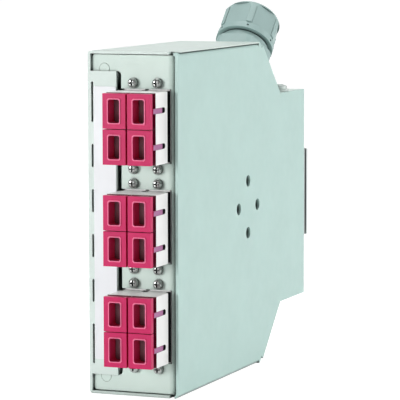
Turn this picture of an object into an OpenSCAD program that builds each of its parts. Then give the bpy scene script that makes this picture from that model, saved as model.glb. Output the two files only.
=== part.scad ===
// Slim sheet steel fibre box that snaps onto a 35 mm rail.
// X runs across the box, Y from the front panel to the rail, Z up.
// The origin is the centre of the base, on its underside.

/* [Housing] */
// Width across the box
body_w = 35; // [33:1:60]
// Height of the box
body_h = 125; // [122:1:160]
// Depth of the base and the top
base_d = 86; // [80:1:140]
// Size of the sloped corner at the top and bottom of the back
slope = 21; // [20:1:24]
// Depth of the narrow rear part behind the slopes
rear_d = 28; // [22:1:50]
// Thickness of the folded steel sheet
sheet = 1; // [0.8:0.1:1.4]
// Outside radius of the folds of the shell
fold_r = 1.2; // [0.5:0.1:1.3]
// Cut at the rear ends of the base and the top, beside the slopes
corner_relief = 2.4; // [1:0.2:4]

/* [Front lip] */
// Gap between the lip and the adapters
lip_gap = 1.55; // [1.4:0.05:3]
// Height of the lip
lip_h = 110.5; // [100:0.5:112]
// Width of the slots along the fold of the lip
fold_slot_w = 0.8; // [0.4:0.1:1]
// Distance between the middles of the slots
fold_slot_pitch = 16.4; // [14:0.2:18]
// Length of metal left between two slots
fold_bridge = 8; // [4:0.5:10]
// Margin of the lip at the right of the label
label_margin = 0.1; // [0:0.1:2]
// Label height
label_h = 99.5; // [80:0.5:105]
// Label thickness
label_t = 0.25; // [0.15:0.05:0.4]

/* [Front panel] */
// How far the panel sits behind the front edge of the shell
panel_inset = 1.2; // [1.1:0.1:2]
// Gap round the panel
panel_gap = 0.35; // [0.3:0.05:1]
// Outside radius of the fold at the right of the panel
panel_fold_r = 3; // [2:0.2:3.4]
// Depth of the folded side of the panel
panel_flange = 10; // [6:1:16]
// Diameter of the flush stud heads at the left of the panel
stud_head_d = 4; // [3:0.2:5]
// Distance of the studs from the left side
stud_side = 6.1; // [5.5:0.1:8]
// Distance of the studs from the top and the bottom
stud_end = 6.4; // [5:0.1:7]

/* [Side cover] */
// Outside radius of the folds of the cover
cover_fold_r = 1.6; // [1.1:0.1:3]
// Width of the folded edges of the cover
cover_flange = 9; // [5:1:14]
// Diameter of the circle of mounting holes
side_pcd = 20; // [12:1:40]
// Diameter of the mounting holes
side_hole_d = 4.5; // [3:0.1:6]
// Distance of the circle of holes from the front
side_holes_y = 71; // [60:1:80]

/* [Adapters] */
// Rows of duplex adapters
rows = 3; // [1:1:3]
// Gap between the flanges of two rows
row_gap = 0.8; // [0.4:0.1:1.6]
// Height of the middle of the rows over the base
row_mid = 62; // [60:0.5:65]
// Distance between the two columns
column_pitch = 9.5; // [9.5:0.1:9.8]
// Distance of the right column from the right side
last_column = 8.05; // [8:0.05:8.2]
// Width of an adapter body
adapter_w = 9.4; // [9:0.1:9.4]
// Height of an adapter body
adapter_h = 25.6; // [25:0.2:26]
// How far a body stands in front of the panel
adapter_front = 13.5; // [10:0.5:16]
// How far a body reaches behind the panel
adapter_back = 18; // [16:1:24]
// Height of the mounting flange
flange_h = 35.4; // [34.6:0.2:35.6]
// Width of the mounting flange
flange_w = 8.1; // [7:0.1:8.4]
// Thickness of the mounting flange
flange_t = 2; // [1.5:0.1:3]
// Distance between the two ports of a body
port_pitch = 12.8; // [12.6:0.1:13]
// Width of a plug cavity
cavity_w = 6.4; // [6:0.1:6.6]
// Height of a plug cavity
cavity_h = 10.8; // [10:0.1:11]
// Distance of a screw from the end of the mounting flange
screw_end = 2.2; // [2:0.1:2.6]

/* [Coding frames] */
// Thickness of the front plate of a frame
frame_t = 2.2; // [1.6:0.2:4]
// Length of the narrow waist between the plate and the body
waist_l = 2.1; // [1:0.1:3]
// Width of a frame
frame_w = 8.8; // [8.4:0.1:9]
// Height of a frame
frame_h = 12.5; // [12:0.1:12.5]
// Width of the plug opening
port_w = 4.4; // [4.4:0.1:5.4]
// Height of the plug opening
port_h = 8.4; // [7.6:0.1:9]
// Height of the arms at the sides of a frame
arm_h = 1.8; // [1.2:0.1:2.4]
// Length of the arms
arm_l = 6; // [4:0.5:9]
// Thickness of the arms
arm_t = 0.8; // [0.6:0.05:0.8]

/* [Shutters] */
// Thickness of a shutter
shutter_t = 0.4; // [0.3:0.05:0.5]
// Distance of the shutter axis behind the front of the body
shutter_set = 1.8; // [1.8:0.1:2.4]
// Diameter of the rolled edge on the shutter's pin
barrel_d = 0.9; // [0.8:0.05:1]
// Diameter of the pin
pin_d = 0.5; // [0.4:0.05:0.6]

/* [Cable gland] */
// Distance of the gland from the middle of the width
gland_x = 3; // [0:0.5:3.5]
// Thread diameter of the gland
gland_thread_d = 16; // [14:0.5:16]
// Width across the flats of the gland body
gland_hex = 22; // [20:0.5:22]
// Thickness of the hexagon
gland_hex_t = 7; // [5:0.5:9]
// Thickness of the cap nut round the neck
cap_side = 3; // [2.5:0.1:4]
// Height of the cap nut
cap_h = 15.5; // [14:0.5:18]
// Gap between the hexagon and the cap nut
cap_gap = 3.5; // [2:0.5:4]
// Depth of the grip flats of the cap nut
cap_flat_depth = 0.9; // [0.5:0.1:1.2]
// Width of the ribs between the flats
cap_rib_w = 2.8; // [2:0.2:4]
// Diameter of the cable passage
cable_d = 8; // [6:0.5:9]

/* [Rail clip] */
// Height of the rail
rail_h = 35; // [35:1:35]
// Thickness of the clip's steel
clip_t = 1.5; // [1.2:0.1:2]
// Space between the two leaves of the clip
clip_space = 2; // [1.9:0.1:3]
// Thickness of the sliding latch
latch_t = 1.5; // [1.2:0.1:1.5]
// Width of the latch
latch_w = 14; // [12:1:15]
// Travel of the latch
latch_travel = 4; // [3:0.5:5]
// Width of the upper hook
hook_w = 12; // [8:1:16]
// Space for the edge of the rail behind the hooks
rail_gap = 1.3; // [1.1:0.1:2]

/* [Hidden] */
$fn = 48;
eps = 0.01;
front = -base_d / 2;
back = base_d / 2;
total_d = base_d + slope + rear_d;
rear = front + total_d;
left = -body_w / 2;
right = body_w / 2;
inner_left = left + sheet;
inner_right = right - sheet;
slope_y = back + slope;
slope_mid_y = back + slope / 2;
slope_mid_z = body_h - slope / 2;
fit = 0.2;
seam = 0.05;
small = 0.3;
running = 0.08;

cover_joint = back - corner_relief - sheet;
cover_screw_d = 2.5;
cover_screw_head_d = 4.6;
cover_screw_x = inner_right - cover_flange / 2;
cover_screw_ends = [20, 16];
cover_screw_y = [front + cover_screw_ends[0], back - cover_screw_ends[1]];
cover_screw_l = 5;

panel_y = front + panel_inset;
panel_back = panel_y + sheet;
panel_left = inner_left + panel_gap;
panel_right = inner_right - fit;
panel_low = sheet + panel_gap;
panel_high = body_h - panel_low;
panel_corner_r = 1;
panel_notch = 1;
relief_w = 2.5;
relief_d = 3;
lip_low = (body_h - lip_h) / 2;
lip_high = body_h - lip_low;
recess_r = 1.4;
recess_end_w = 3.8;
recess_end_h = 3.6;
tab_w = 10;
tab_l = 9;
stud_d = 2.5;
stud_l = 6;
stud_nut_af = 5;
stud_nut_t = 2;
stud_proud = 0.1;
stud_x = left + stud_side;
stud_levels = [stud_end, body_h - stud_end];
fold_slots = 6;
fold_slot_l = fold_slot_pitch - fold_bridge;
fold_slot_extra = 6.2;
fold_slot_x = left + 1.3;
label_x = left + 2.3;

column_x = [for (c = [1, 0]) right - last_column - c * column_pitch];
adapters_left = column_x[0] - adapter_w / 2;
lip_w = adapters_left - lip_gap - left;
label_w = lip_w - label_margin - (label_x - left);
row_pitch = flange_h + row_gap;
screw_pitch = flange_h - 2 * screw_end;
row_z = [for (r = [0:rows - 1]) row_mid + ((rows - 1) / 2 - r) * row_pitch];
port_z = [for (s = [1, -1]) s * port_pitch / 2];
cut_side = 0.35;
lip_cover = 0.2;
recess_x = adapters_left - cut_side + lip_cover;
cut_end = 0.55;
flange_y = panel_back + seam;
screw_d = 2;
screw_hole_d = 2.3;
screw_head_d = 3.7;
screw_head_h = 2.1;
screw_l = 6.4;
crown_share = 1.2;
cross_share = 0.54;
cross_w_share = 0.15;
adapter_nut_af = 4;
adapter_nut_t = 1.6;
thread_fit = 0.03;
middle_y = panel_back + flange_t / 2;
middle_t = 2;
sleeve_d = 3.2;
sleeve_bore = 2.5;
sleeve_l = 11;
sleeve_slit = 0.4;
holder_d = 5;
holder_l = 12;
groove_w = 2.7;
groove_t = 1;
slot_spare = 2.6;
collar_l = 1;
waist_in = 1.1;
rim_w = 0.35;
rim_t = 0.3;
port_corner = 0.5;
shutter_y = panel_y - adapter_front + shutter_set;
shutter_side = 0.15;
shutter_x = cavity_w / 2 - barrel_d / 2 - shutter_side;
shutter_edge = -cavity_w / 2 + small;
shutter_h = cavity_h - 2 * small;
pin_reach = 0.5;
pin_fit = 0.05;

hook_t = 1.2;
hook_lip = 3;
hook_root = 4;
clip_z = row_mid;
clip_low = clip_z - rail_h / 2;
clip_high = clip_z + rail_h / 2;
clip_left = left + 2.5;
clip_right = right - small;
leaf_y = rear + clip_t + clip_space;
seat_y = leaf_y + clip_t;
lip_y = seat_y + rail_gap;
latch_y = rear + clip_t + (clip_space - latch_t) / 2;
latch_top = 4;
latch_high = clip_z + latch_top;
window_w = 5.2;
window_top = -2;
window_high = clip_z + window_top;
stop_h = 1.5;
stop_low = window_high - small - 2 * latch_travel - stop_h;
stop_w = window_w - 2 * small;
window_low = stop_low - small;
latch_foot_t = 1.2;
latch_foot_z = clip_low - small - latch_foot_t;
pull_l = 7;
pull_w = 10;
pull_slot_w = 5;
pull_slot_h = 2.8;
pull_slot_up = 1.6;
pull_slot_r = 1.2;
clip_screw_x = 11;
clip_screw_z = 12;
clip_screw_d = 3;
clip_screw_head_d = 5.2;
clip_screw_head_h = 1.3;
clip_nut_af = 5.5;
clip_nut_t = 2;
screw_spare = 1;
spring_wire = 0.3;
spring_depth = 1.2;
spring_turns = 8;

gland_bore_fit = 0.2;
gland_washer_t = 1;
gland_neck_d = 17;
gland_tail = 9;
locknut_t = 4;
locknut_hex = gland_hex - 1;
hex_cone = [3, 2];
collar_step = 2;
collar_play = 0.5;
gland_bore_d = cable_d + 2;
seal_d = gland_neck_d - 2;
cap_z = gland_washer_t + gland_hex_t + cap_gap;
cap_d = gland_neck_d + 2 * cap_side;
cap_flats = cap_d - 2 * cap_flat_depth;
cap_wall = 1.8;
cap_edge_r = 4;
cap_mouth = 2;
cap_bore_d = gland_neck_d + 2 * running;
cap_turn = 21;
seal_h = 5;
rib_low = 2.7;
rib_high = 12;
dot_d = 0.9;
dot_depth = 0.4;

earth_x = right - 5;
earth_y = slope_y + 11;
earth_d = 4;
earth_head_d = 7;
earth_head_h = 2.1;
earth_washer_t = 0.8;
earth_nut_t = 3.2;
earth_washer_side = 0.7;
earth_screw_l = earth_washer_t + sheet + earth_nut_t + screw_spare;

tray_x = inner_left + 2;
tray_t = 1.2;
tray_rim = 7;
tray_front = front + 32;
tray_l = 84;
tray_low = 26;
tray_r = 14;
tray_post_d = 6;
tray_screw_d = 3;
tray_screw_head_d = 5.6;
tray_screw_head_h = 1.6;
tray_corner = 10;
tray_mouth = 12;
hub_d = 30;
hub_gap = 3;
hub_top = 14;
hub_side = 6;
hub_wall = 1;
holder_slots = 6;
holder_low = 5;
holder_w = 24;
splice_pitch = 8 / 3;
splice_w = 1.8;
holder_block_t = 4.5;
holder_floor = 1;
holder_end = 2;
holder_length = holder_slots * splice_pitch + 2 * holder_end;
tray_h = holder_low + holder_length + hub_gap + hub_d + hub_top;
tray_mid_z = tray_low + tray_h / 2;
tray_mid_y = tray_front + tray_l / 2;

// Shared helpers

// Side view outline in Y and Z, drawn in by a given amount, with the front left open
module outline(inset = 0) {
    k = inset * tan(22.5);
    open_front = inset > 0 ? 2 : 0;
    polygon([
        [front - open_front, inset],
        [back - k, inset],
        [slope_y - k, slope + inset],
        [rear - inset, slope + inset],
        [rear - inset, body_h - slope - inset],
        [slope_y - k, body_h - slope - inset],
        [back - k, body_h - inset],
        [front - open_front, body_h - inset]
    ]);
}

// Runs a shape drawn in Y and Z across the width
module across(x0, x1) {
    translate([x0, 0, 0]) rotate([90, 0, 90]) linear_extrude(height = x1 - x0) children();
}

// Runs a shape drawn in X and Z along the depth
module along(y0, y1) {
    translate([0, y1, 0]) rotate([90, 0, 0]) linear_extrude(height = y1 - y0) children();
}

// Runs a shape drawn in X and Y up the height
module upright(z0, z1) {
    translate([0, 0, z0]) linear_extrude(height = z1 - z0) children();
}

module block(low, high) {
    translate(low) cube([high[0] - low[0], high[1] - low[1], high[2] - low[2]]);
}

module rod_y(d, y0, y1) {
    translate([0, y1, 0]) rotate([90, 0, 0]) cylinder(d = d, h = y1 - y0);
}

module rod_x(d, x0, x1) {
    translate([x0, 0, 0]) rotate([0, 90, 0]) cylinder(d = d, h = x1 - x0);
}

// Rectangle with round corners, from its low corner to its high corner
module round_rect(low, high, r) {
    hull() {
        for (x = [low[0] + r, high[0] - r], y = [low[1] + r, high[1] - r]) {
            translate([x, y]) circle(r = r);
        }
    }
}

// What a fold of radius r leaves outside of itself, for a corner at the origin
module fold_waste(r) {
    difference() {
        translate([-eps, -eps]) square([r + eps, r + eps]);
        translate([r, r]) circle(r = r);
    }
}

// Hexagon with its flats across Y
module hexagon(flats) {
    circle(d = flats / cos(30), $fn = 6);
}

// Pan head with a cross recess, seated on the origin and facing -Y
module pan_head(d, h) {
    crown_r = d * crown_share;
    reach = d * cross_share / 2;
    half_w = d * cross_w_share / 2;
    difference() {
        rotate([90, 0, 0]) rotate_extrude() intersection() {
            square([d / 2, h]);
            translate([0, h - crown_r]) circle(r = crown_r);
        }
        for (a = [0, 90]) {
            rotate([0, a, 0]) block([-reach, -h - 1, -half_w], [reach, -h / 2, half_w]);
        }
    }
}

// Places children on the sloped wall with Z along its outward normal
module on_slope() {
    translate([gland_x, slope_mid_y, slope_mid_z]) rotate([-45, 0, 0]) children();
}

// Housing

module fold_edge_cuts() {
    edges = [[front, 0, base_d, 0], [back, 0, slope * sqrt(2), 45], [slope_y, slope, rear_d, 0]];
    for (e = edges) {
        for (m = [0, 1]) {
            translate([0, 0, m * body_h]) mirror([0, 0, m]) {
                translate([left, e[0], e[1]]) rotate([e[3], 0, 0]) translate([0, e[2], 0])
                    rotate([90, 0, 0]) linear_extrude(height = e[2]) fold_waste(fold_r);
            }
        }
    }
    translate([left, rear, slope]) rotate([0, 0, -90])
        linear_extrude(height = body_h - 2 * slope) fold_waste(fold_r);
}

module fold_slot(z, length) {
    along(front - 1, front + sheet + 1) {
        round_rect([fold_slot_x, z - length / 2], [fold_slot_x + fold_slot_w, z + length / 2],
                   fold_slot_w / 2 - eps);
    }
}

module label_lip() {
    mid = body_h / 2;
    difference() {
        upright(lip_low, lip_high) difference() {
            translate([left, front]) square([lip_w, sheet]);
            translate([left, front]) fold_waste(fold_r);
        }
        for (i = [0:fold_slots - 1]) {
            is_end = i == 0 || i == fold_slots - 1;
            side = i == 0 ? -1 : 1;
            grow = is_end ? fold_slot_extra : 0;
            z = mid + (i - (fold_slots - 1) / 2) * fold_slot_pitch + side * grow / 2;
            fold_slot(z, fold_slot_l + grow);
        }
    }
}

// Tab behind the panel that takes a stud
module stud_tab() {
    block([inner_left - eps, panel_back, body_h - sheet - tab_l],
          [inner_left + tab_w, panel_back + sheet, body_h - sheet + eps]);
}

module housing_shell() {
    color("#c6d8d2") difference() {
        union() {
            difference() {
                across(left, right) outline();
                across(inner_left, right + 1) outline(sheet);
                block([inner_right, front - 1, sheet], [right + 1, back - corner_relief, body_h - sheet]);
                block([inner_right, cover_joint, -1], [right + 1, rear + 1, body_h + 1]);
                block([inner_right - relief_w, front - 1, -1], [right, front + relief_d, body_h + 1]);
                fold_edge_cuts();
            }
            label_lip();
            stud_tab();
            translate([0, 0, body_h]) mirror([0, 0, 1]) stud_tab();
        }
        for (z = stud_levels) {
            translate([stud_x, 0, z]) rod_y(stud_d + fit, panel_back - 1, panel_back + sheet + 1);
        }
        on_slope() translate([0, 0, -3]) cylinder(d = gland_thread_d + gland_bore_fit, h = 6);
        translate([earth_x, earth_y, body_h - slope - 3]) cylinder(d = earth_d + small, h = 6);
        for (x = [-clip_screw_x, clip_screw_x], z = [-clip_screw_z, clip_screw_z]) {
            translate([x, 0, clip_z + z]) rod_y(clip_screw_d + fit, rear - 3, rear + 1);
        }
        for (y = cover_screw_y) {
            translate([cover_screw_x, y, -1]) cylinder(d = cover_screw_d + fit, h = sheet + 2);
            translate([cover_screw_x, y, -eps])
                cylinder(d1 = cover_screw_head_d + fit, d2 = cover_screw_d + fit, h = sheet);
        }
        tray_screw_places() rod_x(tray_screw_d + fit, left - 1, inner_left + 1);
    }
}

// Side cover

module cover_section() {
    low = [inner_right - cover_flange, sheet];
    high = [right, body_h - sheet];
    difference() {
        round_rect([low[0] - 6, low[1]], high, cover_fold_r);
        round_rect([low[0] - 7, low[1] + sheet], [high[0] - sheet, high[1] - sheet],
                   cover_fold_r - sheet);
        translate([low[0] - 8, 0]) square([8, body_h]);
    }
}

module side_cover() {
    holes_y = front + side_holes_y;
    color("#bdd2cc") difference() {
        union() {
            along(front, back - corner_relief) cover_section();
            across(inner_right, right) difference() {
                outline();
                translate([front - 1, -1]) square([cover_joint - front + 1, body_h + 2]);
                for (z = [0, body_h]) {
                    translate([back, z]) rotate(45)
                        square(corner_relief * sqrt(2), center = true);
                }
            }
            block([inner_right, back - corner_relief - 2, cover_fold_r + sheet],
                  [right, back, body_h - cover_fold_r - sheet]);
        }
        for (z = [sheet - 1, body_h - 2 * sheet - 1]) {
            block([inner_right - cover_flange - 1, front - 1, z],
                  [right - cover_fold_r, panel_back + small, z + sheet + 2]);
        }
        for (a = [0:90:270]) {
            translate([0, holes_y, body_h / 2]) rotate([a, 0, 0]) translate([0, side_pcd / 2, 0])
                rod_x(side_hole_d, inner_right - 1, right + 1);
        }
        for (y = cover_screw_y) {
            translate([cover_screw_x, y, 0]) cylinder(d = cover_screw_d + 2 * thread_fit, h = 3 * sheet);
        }
    }
}

module cover_screws() {
    color("#b9bcbc") for (y = cover_screw_y) {
        translate([cover_screw_x, y, 0]) {
            cylinder(d1 = cover_screw_head_d, d2 = cover_screw_d, h = sheet);
            cylinder(d = cover_screw_d, h = cover_screw_l);
        }
    }
}

// Front panel

// Section of the panel in X and Y: the face, the round fold and the side
module panel_section() {
    fold_x = panel_right - panel_fold_r;
    fold_y = panel_y + panel_fold_r;
    translate([panel_left, panel_y]) square([fold_x - panel_left, sheet]);
    translate([panel_right - sheet, fold_y]) square([sheet, panel_flange - panel_fold_r]);
    intersection() {
        translate([fold_x, fold_y]) difference() {
            circle(r = panel_fold_r);
            circle(r = panel_fold_r - sheet);
        }
        translate([fold_x - eps, panel_y - eps]) square([panel_fold_r + 1, panel_fold_r + 2 * eps]);
    }
}

module row_cut(z) {
    x0 = column_x[0] - adapter_w / 2 - cut_side;
    x1 = column_x[1] + adapter_w / 2 + cut_side;
    half = adapter_h / 2 + cut_end;
    block([x0, panel_y - 1, z - half], [x1, panel_back + 1, z + half]);
}

module front_panel() {
    color("#d2e3dc") difference() {
        upright(panel_low, panel_high) panel_section();
        along(panel_y - 1, panel_back + 1) difference() {
            translate([panel_left - 1, panel_low - 1])
                square([panel_corner_r + 1, panel_high - panel_low + 2]);
            round_rect([panel_left, panel_low], [panel_left + 9, panel_high], panel_corner_r);
        }
        along(panel_y - 1, panel_back + 1) {
            round_rect([recess_x - recess_end_w, lip_low], [recess_x, lip_high], recess_r);
            round_rect([left - 5, lip_low + recess_end_h], [recess_x, lip_high - recess_end_h], recess_r);
        }
        for (m = [0, 1]) {
            translate([0, 0, m * body_h]) mirror([0, 0, m]) {
                block([panel_right - panel_notch, panel_y - 1, -1],
                      [right, panel_back, panel_low + panel_notch]);
                block([panel_right - panel_fold_r, panel_back - eps, -1],
                      [right, panel_y + panel_flange + 1, 2 * sheet + small]);
            }
        }
        for (z = row_z) {
            row_cut(z);
            for (x = column_x, s = [-1, 1]) {
                translate([x, 0, z + s * screw_pitch / 2])
                    rod_y(screw_hole_d, panel_y - 1, panel_back + 1);
            }
        }
        for (z = stud_levels) {
            translate([stud_x, 0, z]) {
                rod_y(stud_head_d + 2 * thread_fit, panel_y - 1, panel_y + sheet / 2);
                rod_y(stud_d + 2 * thread_fit, panel_y - 1, panel_back + 1);
            }
        }
    }
}

module panel_studs() {
    color("#d8e2de") for (z = stud_levels) {
        translate([stud_x, 0, z]) {
            rod_y(stud_head_d, panel_y - stud_proud, panel_y + sheet / 2);
            rod_y(stud_d, panel_y, panel_y + stud_l);
        }
    }
}

module panel_nuts() {
    y = panel_back + sheet;
    color("#b9bcbc") for (z = stud_levels) {
        translate([stud_x, y + stud_nut_t, z]) rotate([90, 0, 0]) difference() {
            linear_extrude(height = stud_nut_t) hexagon(stud_nut_af);
            translate([0, 0, -1]) cylinder(d = stud_d + 2 * thread_fit, h = stud_nut_t + 2);
        }
    }
}

module label_strip() {
    z = (body_h - label_h) / 2;
    color("#f4f6f8") block([label_x, front - label_t, z], [label_x + label_w, front, z + label_h]);
}

// Adapters

function adapter_place(i) = [column_x[(i - 1) % 2], 0, row_z[floor((i - 1) / 2)]];
function port_place(i) = adapter_place(ceil(i / 2)) + [0, 0, port_z[(i - 1) % 2]];

module each_adapter() {
    for (i = [1:2 * rows]) translate(adapter_place(i)) children();
}

module adapter_body() {
    y0 = panel_y - adapter_front;
    y1 = panel_y + adapter_back;
    half_w = adapter_w / 2;
    color("#f2f3f1") difference() {
        union() {
            block([-half_w, y0, -adapter_h / 2], [half_w, y1, adapter_h / 2]);
            block([-flange_w / 2, flange_y, -flange_h / 2],
                  [flange_w / 2, flange_y + flange_t, flange_h / 2]);
        }
        for (z = port_z) {
            translate([0, 0, z]) {
                difference() {
                    block([-cavity_w / 2, y0 - 1, -cavity_h / 2], [cavity_w / 2, y1 + 1, cavity_h / 2]);
                    block([-half_w, middle_y - middle_t / 2, -adapter_h / 2],
                          [half_w, middle_y + middle_t / 2, adapter_h / 2]);
                    rod_y(holder_d, middle_y - holder_l / 2, middle_y + holder_l / 2);
                }
                rod_y(sleeve_d + 2 * thread_fit, y0 - 1, y1 + 1);
                for (s = [-1, 1]) {
                    arm_slot(s);
                    translate([shutter_x, shutter_y, s * cavity_h / 2])
                        cylinder(d = pin_d + 2 * pin_fit, h = 2 * (pin_reach + pin_fit), center = true);
                }
            }
        }
        for (s = [-1, 1]) {
            translate([0, 0, s * screw_pitch / 2])
                rod_y(screw_d + fit, flange_y - 1, flange_y + flange_t + 1);
            block([s * half_w - groove_t, panel_y - groove_w, -adapter_h / 2 - 1],
                  [s * half_w + groove_t, panel_y, adapter_h / 2 + 1]);
        }
    }
}

// Slot in the side of a body for the arm of a coding frame
module arm_slot(side) {
    y0 = panel_y - adapter_front;
    height = arm_h + fit;
    x0 = side > 0 ? adapter_w / 2 - arm_t - seam : -adapter_w / 2 - 1;
    across(x0, x0 + arm_t + seam + 1) {
        translate([y0 - 1, -height / 2]) square([arm_l + 1 + slot_spare - height / 2, height]);
        translate([y0 + arm_l + slot_spare - height / 2, 0]) circle(d = height);
    }
}

// Rectangle with cut corners round the origin
module cut_corner_rect(w, h, c) {
    intersection() {
        square([w, h], center = true);
        rotate(45) square(((w + h) / 2 - c) * sqrt(2), center = true);
    }
}

module coding_frame() {
    body_y = panel_y - adapter_front;
    plate_back = body_y - waist_l;
    plate_front = plate_back - frame_t;
    half_w = adapter_w / 2;
    waist = [frame_w / 2 - waist_in, frame_h / 2 - waist_in];
    collar = [cavity_w / 2 - seam, cavity_h / 2 - seam];
    color("#cc4872") difference() {
        union() {
            block([-frame_w / 2, plate_front, -frame_h / 2], [frame_w / 2, plate_back, frame_h / 2]);
            block([-waist[0], plate_back - eps, -waist[1]], [waist[0], body_y, waist[1]]);
            block([-collar[0], body_y - eps, -collar[1]], [collar[0], body_y + collar_l, collar[1]]);
            for (x = [-half_w, half_w - arm_t]) {
                block([x, plate_back - eps, -arm_h / 2], [x + arm_t, body_y + arm_l, arm_h / 2]);
            }
            along(plate_front - rim_t, plate_front + eps)
                cut_corner_rect(port_w + 2 * rim_w, port_h + 2 * rim_w, port_corner);
        }
        along(plate_front - 1, body_y + collar_l + 1) cut_corner_rect(port_w, port_h, port_corner);
    }
}

module port_shutter() {
    color("#b9a6ad") translate([shutter_x, shutter_y, 0]) {
        block([shutter_edge - shutter_x, -shutter_t / 2, -shutter_h / 2],
              [0, shutter_t / 2, shutter_h / 2]);
        cylinder(d = barrel_d, h = shutter_h, center = true);
        cylinder(d = pin_d, h = cavity_h + 2 * pin_reach, center = true);
    }
}

module alignment_sleeves() {
    color("#e9e4da") each_adapter() for (z = port_z) {
        translate([0, 0, z]) difference() {
            rod_y(sleeve_d, middle_y - sleeve_l / 2, middle_y + sleeve_l / 2);
            rod_y(sleeve_bore, middle_y - sleeve_l, middle_y + sleeve_l);
            block([-sleeve_slit / 2, middle_y - sleeve_l, 0],
                  [sleeve_slit / 2, middle_y + sleeve_l, sleeve_d]);
        }
    }
}

module adapter_screws() {
    color("#aab0ae") each_adapter() for (s = [-1, 1]) {
        translate([0, panel_y, s * screw_pitch / 2]) {
            pan_head(screw_head_d, screw_head_h);
            rod_y(screw_d, 0, screw_l);
        }
    }
}

module adapter_nuts() {
    y = flange_y + flange_t;
    color("#aab0ae") each_adapter() for (s = [-1, 1]) {
        translate([0, y + adapter_nut_t, s * screw_pitch / 2]) rotate([90, 0, 0]) difference() {
            linear_extrude(height = adapter_nut_t) hexagon(adapter_nut_af);
            translate([0, 0, -1]) cylinder(d = screw_d + 2 * thread_fit, h = adapter_nut_t + 2);
        }
    }
}

// Cable gland

module gland_washer() {
    color("#2c2f31") on_slope() difference() {
        cylinder(d = gland_hex, h = gland_washer_t);
        translate([0, 0, -1]) cylinder(d = gland_thread_d + 2 * thread_fit, h = gland_washer_t + 2);
    }
}

module gland_body() {
    neck_z = gland_washer_t + gland_hex_t;
    claw_z = cap_z + cap_h - cap_wall - seal_h;
    color("#a3bcb8") on_slope() difference() {
        union() {
            translate([0, 0, -gland_tail]) cylinder(d = gland_thread_d, h = gland_tail + neck_z);
            translate([0, 0, gland_washer_t]) intersection() {
                linear_extrude(height = gland_hex_t) hexagon(gland_hex);
                cylinder(d1 = gland_hex + hex_cone[0], d2 = gland_hex + hex_cone[1], h = gland_hex_t);
            }
            translate([0, 0, neck_z]) cylinder(d = gland_hex - collar_step, h = cap_gap - collar_play);
            translate([0, 0, neck_z]) cylinder(d = gland_neck_d, h = claw_z - neck_z);
        }
        translate([0, 0, -gland_tail - 1]) cylinder(d = gland_bore_d, h = gland_tail + claw_z + 2);
    }
}

module gland_seal() {
    z = cap_z + cap_h - cap_wall - seal_h;
    color("#3a3d3e") on_slope() translate([0, 0, z + small]) difference() {
        cylinder(d = seal_d, h = seal_h - 2 * small);
        translate([0, 0, -1]) cylinder(d = cable_d, h = seal_h + 2);
    }
}

module cap_profile() {
    r = cap_d / 2;
    difference() {
        union() {
            square([r, cap_h - cap_edge_r]);
            square([r - cap_edge_r, cap_h]);
            translate([r - cap_edge_r, cap_h - cap_edge_r]) circle(r = cap_edge_r);
        }
        translate([-1, -1]) square([cap_bore_d / 2 + 1, cap_h - cap_wall + 1]);
        translate([-1, 0]) square([cable_d / 2 + cap_mouth, cap_h + 1]);
        translate([-r, -1]) square([r, cap_h + 2]);
    }
}

module gland_cap() {
    color("#a3bcb8") on_slope() translate([0, 0, cap_z]) rotate(cap_turn) difference() {
        rotate_extrude() cap_profile();
        for (a = [0:60:300]) {
            rotate(a) difference() {
                block([cap_flats / 2, -cap_d / 2, rib_low], [cap_d, cap_d / 2, rib_high + 1]);
                for (s = [-30, 30]) {
                    rotate(s) block([0, -cap_rib_w / 2, 0], [cap_d + 2, cap_rib_w / 2, cap_h]);
                }
            }
            rotate(a + 30) translate([cap_d / 2 - dot_depth, 0, rib_low / 2]) rotate([0, 90, 0])
                cylinder(d = dot_d, h = 2);
        }
    }
}

module gland_locknut() {
    color("#a3bcb8") on_slope() translate([0, 0, -sheet - locknut_t]) difference() {
        linear_extrude(height = locknut_t) rotate(30) hexagon(locknut_hex);
        translate([0, 0, -1]) cylinder(d = gland_thread_d + 2 * thread_fit, h = locknut_t + 2);
    }
}

// Earth screw on the upper step

module on_step() {
    translate([earth_x, earth_y, body_h - slope]) children();
}

module earth_washer() {
    color("#c2c4c2") on_step() difference() {
        cylinder(d = earth_head_d + 2 * earth_washer_side, h = earth_washer_t);
        translate([0, 0, -1]) cylinder(d = earth_d + small, h = 3);
    }
}

module earth_screw() {
    color("#c2c4c2") on_step() translate([0, 0, earth_washer_t]) {
        rotate([-90, 0, 0]) pan_head(earth_head_d, earth_head_h);
        translate([0, 0, -earth_screw_l]) cylinder(d = earth_d, h = earth_screw_l);
    }
}

module earth_nut() {
    color("#c2c4c2") on_step() translate([0, 0, -sheet - earth_nut_t]) difference() {
        linear_extrude(height = earth_nut_t) hexagon(earth_head_d);
        translate([0, 0, -1]) cylinder(d = earth_d + 2 * thread_fit, h = earth_nut_t + 2);
    }
}

// Rail clip

module clip_section() {
    bend = clip_space / 2 + clip_t;
    mid_y = rear + bend;
    translate([clip_left + bend, rear]) square([clip_right - clip_left - bend, clip_t]);
    translate([clip_left + bend, leaf_y]) square([clip_right - clip_left - bend, clip_t]);
    intersection() {
        translate([clip_left + bend, mid_y]) difference() {
            circle(r = bend);
            circle(r = clip_space / 2);
        }
        translate([clip_left - 1, rear - 1]) square([bend + 1 + eps, 2 * bend + 2]);
    }
}

// Side view of the upper hook, in Y and Z
module hook_outline() {
    top = clip_high + fit + hook_t;
    translate([leaf_y, clip_high - hook_root]) square([clip_t, top - clip_high + hook_root]);
    translate([leaf_y, top - hook_t]) square([lip_y + hook_t - leaf_y, hook_t]);
    translate([lip_y, clip_high - hook_lip]) square([hook_t, top - clip_high + hook_lip]);
}

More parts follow.
